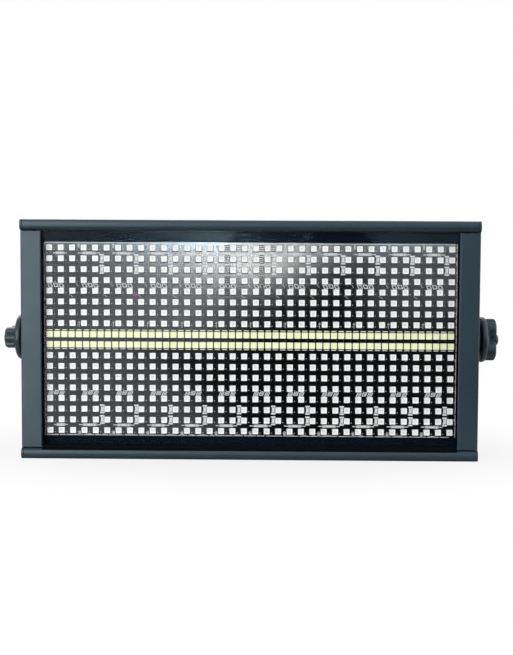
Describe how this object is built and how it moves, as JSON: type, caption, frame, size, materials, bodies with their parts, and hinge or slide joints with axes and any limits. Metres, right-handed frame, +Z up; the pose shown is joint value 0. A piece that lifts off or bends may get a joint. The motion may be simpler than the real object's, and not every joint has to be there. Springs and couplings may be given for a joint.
{
  "type": "strobe light",
  "caption": "Flat LED strobe panel in a railed metal housing, with a U-shaped bracket clamped by hand knobs.",
  "frame": {"origin": "middle of the flat underside that the panel stands on, below the bracket's pivot line", "axes": "+X to the right along the panel as seen from the front, +Y from the front glass to the back, +Z up"},
  "size_m": [0.452, 0.174, 0.208],
  "materials": {
    "paint": "fine matt powder coat",
    "clear_glass": "clear, flat",
    "foam": "closed-cell foam",
    "led_board": "black solder mask over metal core, white LED packages",
    "aluminium": "extruded, bare",
    "supply_cage": "folded sheet",
    "circuit_board": "green solder mask",
    "smoked_window": "smoked, polished",
    "fan_plastic": "moulded",
    "black_steel": "black powder coat",
    "knob_plastic": "moulded, satin",
    "zinc_steel": "zinc plated",
    "fibre": "pressed fibre",
    "connector_shell": "black die cast",
    "connector_plastic": "moulded",
    "fuse_glass": "glass tube with metal ends"
  },
  "bodies": {
    "housing": {"top_rail": "paint", "bottom_rail": "paint", "left_side_plate": "paint", "right_side_plate": "paint", "rear_cover": "paint", "front_glass": "clear_glass", "glass_seal": "foam", "led_board": "led_board", "heat_sink": "aluminium", "power_supply": "supply_cage", "control_board": "circuit_board", "display_window": "smoked_window", "left_fan_frame": "fan_plastic", "right_fan_frame": "fan_plastic", "left_fan_guard": "black_steel", "right_fan_guard": "black_steel", "cover_screw_1": "black_steel", "cover_screw_2": "black_steel", "cover_screw_3": "black_steel", "cover_screw_4": "black_steel", "left_fan_screw_1": "black_steel", "left_fan_screw_2": "black_steel", "left_fan_screw_3": "black_steel", "left_fan_screw_4": "black_steel", "right_fan_screw_1": "black_steel", "right_fan_screw_2": "black_steel", "right_fan_screw_3": "black_steel", "right_fan_screw_4": "black_steel", "left_pivot_nut": "zinc_steel", "right_pivot_nut": "zinc_steel", "safety_eye": "zinc_steel", "left_side_screw_1": "zinc_steel", "left_side_screw_2": "zinc_steel", "left_side_screw_3": "zinc_steel", "left_side_screw_4": "zinc_steel", "right_side_screw_1": "zinc_steel", "right_side_screw_2": "zinc_steel", "right_side_screw_3": "zinc_steel", "right_side_screw_4": "zinc_steel", "left_friction_disc": "fibre", "right_friction_disc": "fibre", "dmx_in_connector": "connector_shell", "dmx_out_connector": "connector_shell", "power_in_connector": "connector_plastic", "power_out_connector": "connector_plastic", "fuse_holder": "connector_plastic"},
    "yoke": {"yoke": "black_steel"},
    "left_knob": {"left_knob": "knob_plastic", "left_knob_washer": "zinc_steel"},
    "right_knob": {"right_knob": "knob_plastic", "right_knob_washer": "zinc_steel"},
    "left_rotor": {"left_fan_rotor": "fan_plastic"},
    "right_rotor": {"right_fan_rotor": "fan_plastic"},
    "menu_button": {"menu_button": "connector_plastic"},
    "up_button": {"up_button": "connector_plastic"},
    "down_button": {"down_button": "connector_plastic"},
    "enter_button": {"enter_button": "connector_plastic"},
    "dmx_out_latch": {"dmx_out_latch": "zinc_steel"},
    "fuse": {"fuse": "fuse_glass"},
    "fuse_cap": {"fuse_cap": "connector_plastic"}
  },
  "joints": [
    {"name": "yoke_tilt", "type": "hinge", "parent": "housing", "child": "yoke", "pos_m": [0, 0, 0.104], "axis": [1, 0, 0], "range_deg": [-120, 120]},
    {"name": "left_knob_turn", "type": "hinge", "parent": "housing", "child": "left_knob", "pos_m": [-0.2054, 0, 0.104], "axis": [-1, 0, 0], "range_deg": [0, 720]},
    {"name": "left_fan_spin", "type": "hinge", "parent": "housing", "child": "left_rotor", "pos_m": [-0.045, 0.0302, 0.104], "axis": [0, 1, 0], "continuous": true},
    {"name": "right_knob_turn", "type": "hinge", "parent": "housing", "child": "right_knob", "pos_m": [0.2054, 0, 0.104], "axis": [1, 0, 0], "range_deg": [0, 720]},
    {"name": "right_fan_spin", "type": "hinge", "parent": "housing", "child": "right_rotor", "pos_m": [0.045, 0.0302, 0.104], "axis": [0, 1, 0], "continuous": true},
    {"name": "menu_button_press", "type": "slide", "parent": "housing", "child": "menu_button", "axis": [0, -1, 0], "range_m": [0, 0.0008], "stiffness_N_per_m": 1500},
    {"name": "up_button_press", "type": "slide", "parent": "housing", "child": "up_button", "axis": [0, -1, 0], "range_m": [0, 0.0008], "stiffness_N_per_m": 1500},
    {"name": "down_button_press", "type": "slide", "parent": "housing", "child": "down_button", "axis": [0, -1, 0], "range_m": [0, 0.0008], "stiffness_N_per_m": 1500},
    {"name": "enter_button_press", "type": "slide", "parent": "housing", "child": "enter_button", "axis": [0, -1, 0], "range_m": [0, 0.0008], "stiffness_N_per_m": 1500},
    {"name": "dmx_out_latch_press", "type": "slide", "parent": "housing", "child": "dmx_out_latch", "axis": [0, -1, 0], "range_m": [0, 0.0012], "stiffness_N_per_m": 2500},
    {"name": "fuse_pull", "type": "slide", "parent": "housing", "child": "fuse", "axis": [0, 1, 0], "range_m": [0, 0.022]},
    {"name": "fuse_cap_turn", "type": "hinge", "parent": "fuse", "child": "fuse_cap", "pos_m": [-0.13575, 0.0465, 0.036], "axis": [0, 1, 0], "range_deg": [0, 45]}
  ]
}
